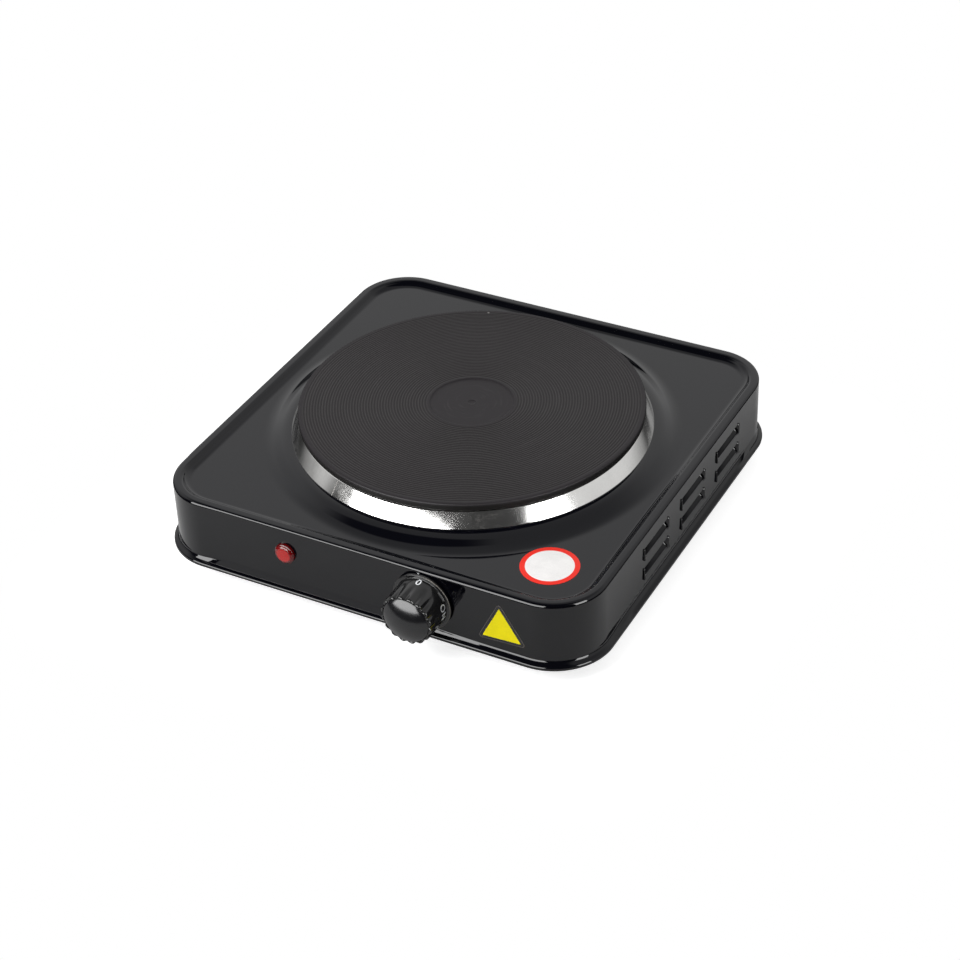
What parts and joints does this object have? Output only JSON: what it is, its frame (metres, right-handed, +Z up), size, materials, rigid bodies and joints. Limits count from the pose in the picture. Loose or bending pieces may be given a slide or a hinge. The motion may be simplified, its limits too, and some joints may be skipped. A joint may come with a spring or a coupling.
{
  "type": "electric hot plate",
  "caption": "Electric hot plate: a pressed steel body holds a round cast-iron plate in a bright trim ring, with a thermostat knob and a lamp on its front.",
  "frame": {"origin": "centre of the outer box, on the plane that the feet stand on; the axis of the plate and body is 7.95 mm behind it, because the knob reaches out further than the cord gland", "axes": "+Z up, along the axis of the plate; -Y out of the front panel, along the knob; +X to the right of someone facing the front"},
  "size_m": [0.253, 0.2748, 0.0642],
  "materials": {
    "black_enamel": "gloss",
    "galvanised_steel": "satin",
    "black_rubber": "matt",
    "cast_iron": "matt, black lacquered",
    "bright_trim": "polished stainless steel",
    "heating_wire": "oxidised",
    "magnesia_compound": "matt",
    "white_ceramic": "matt",
    "brass": "satin",
    "spring_bronze": "satin",
    "contact_silver": "satin",
    "bimetal_strip": "satin",
    "black_phenolic": "gloss",
    "knob_insert": "gloss",
    "red_lens": "gloss",
    "white_plastic": "matt",
    "neon_glass": "clear",
    "resistor_body": "matt",
    "black_plastic": "matt",
    "brown_wire": "satin",
    "black_wire": "satin",
    "blue_wire": "satin",
    "green_wire": "satin",
    "white_wire": "braided glass sleeving",
    "white_label": "satin film with a red edge",
    "label_film": "clear film over the black body",
    "yellow_label": "satin film"
  },
  "bodies": {
    "chassis": {"body_shell": "black_enamel", "corner_brackets": "galvanised_steel", "base_plate": "galvanised_steel", "foot_front_left": "black_rubber", "foot_front_right": "black_rubber", "foot_back_left": "black_rubber", "foot_back_right": "black_rubber", "foot_screws": "galvanised_steel", "hot_plate": "cast_iron", "trim_ring": "bright_trim", "heating_coil_inner": "heating_wire", "heating_coil_middle": "heating_wire", "heating_coil_outer": "heating_wire", "insulating_compound": "magnesia_compound", "plate_back_cover": "galvanised_steel", "heat_shield": "galvanised_steel", "plate_stud": "galvanised_steel", "mounting_bridge": "galvanised_steel", "stud_washer": "galvanised_steel", "earth_tag": "brass", "stud_nut": "galvanised_steel", "plate_terminal_block": "white_ceramic", "plate_terminal_pins": "galvanised_steel", "thermostat_frame": "galvanised_steel", "thermostat_screws": "galvanised_steel", "shaft_bush": "brass", "ceramic_stack": "white_ceramic", "stack_rivet": "galvanised_steel", "contact_arm_terminal": "brass", "fixed_contact_blade": "brass", "fixed_contact": "contact_silver", "bimetal_holder": "galvanised_steel", "lamp_lens": "red_lens", "lamp_retainer": "galvanised_steel", "lamp_plug": "white_plastic", "neon_bulb": "neon_glass", "lamp_resistor": "resistor_body", "mains_terminal_block": "white_ceramic", "mains_terminal_inserts": "brass", "mains_terminal_screws": "galvanised_steel", "terminal_bracket": "galvanised_steel", "terminal_block_screws": "galvanised_steel", "cord_gland": "black_plastic", "wire_live": "brown_wire", "wire_switched_live": "black_wire", "wire_neutral": "blue_wire", "wire_earth": "green_wire", "lamp_leads": "white_wire", "round_label": "white_label", "front_label_backing": "label_film", "front_label": "yellow_label"},
    "knob_body": {"knob": "black_phenolic", "knob_cap": "knob_insert", "knob_spring_clip": "galvanised_steel", "adjusting_shaft": "galvanised_steel"},
    "pin_body": {"push_pin": "white_ceramic"},
    "arm_body": {"contact_arm": "spring_bronze", "moving_contact": "contact_silver"},
    "bimetal_body": {"bimetal_blade": "bimetal_strip", "bimetal_button": "white_ceramic"}
  },
  "joints": [
    {"name": "knob_turn", "type": "hinge", "parent": "chassis", "child": "knob_body", "pos_m": [0.0368, -0.11555, 0.0316], "axis": [0, 1, 0], "range_deg": [0, 270]},
    {"name": "push_pin_slide", "type": "slide", "parent": "chassis", "child": "pin_body", "axis": [0, 1, 0], "range_m": [0, 0.0008]},
    {"name": "contact_arm_swing", "type": "hinge", "parent": "chassis", "child": "arm_body", "pos_m": [0.0528, -0.1015, 0.0316], "axis": [0, 0, -1], "range_deg": [0, 2.87]},
    {"name": "bimetal_bend", "type": "hinge", "parent": "chassis", "child": "bimetal_body", "pos_m": [0.0528, -0.09195, 0.0316], "axis": [0, 0, 1], "range_deg": [0, 1.5]}
  ],
  "couplings": [
    {"joint": "push_pin_slide", "follows": "knob_turn", "m_per_rad": 0.00016976},
    {"joint": "contact_arm_swing", "follows": "knob_turn", "ratio": 0.01061}
  ]
}
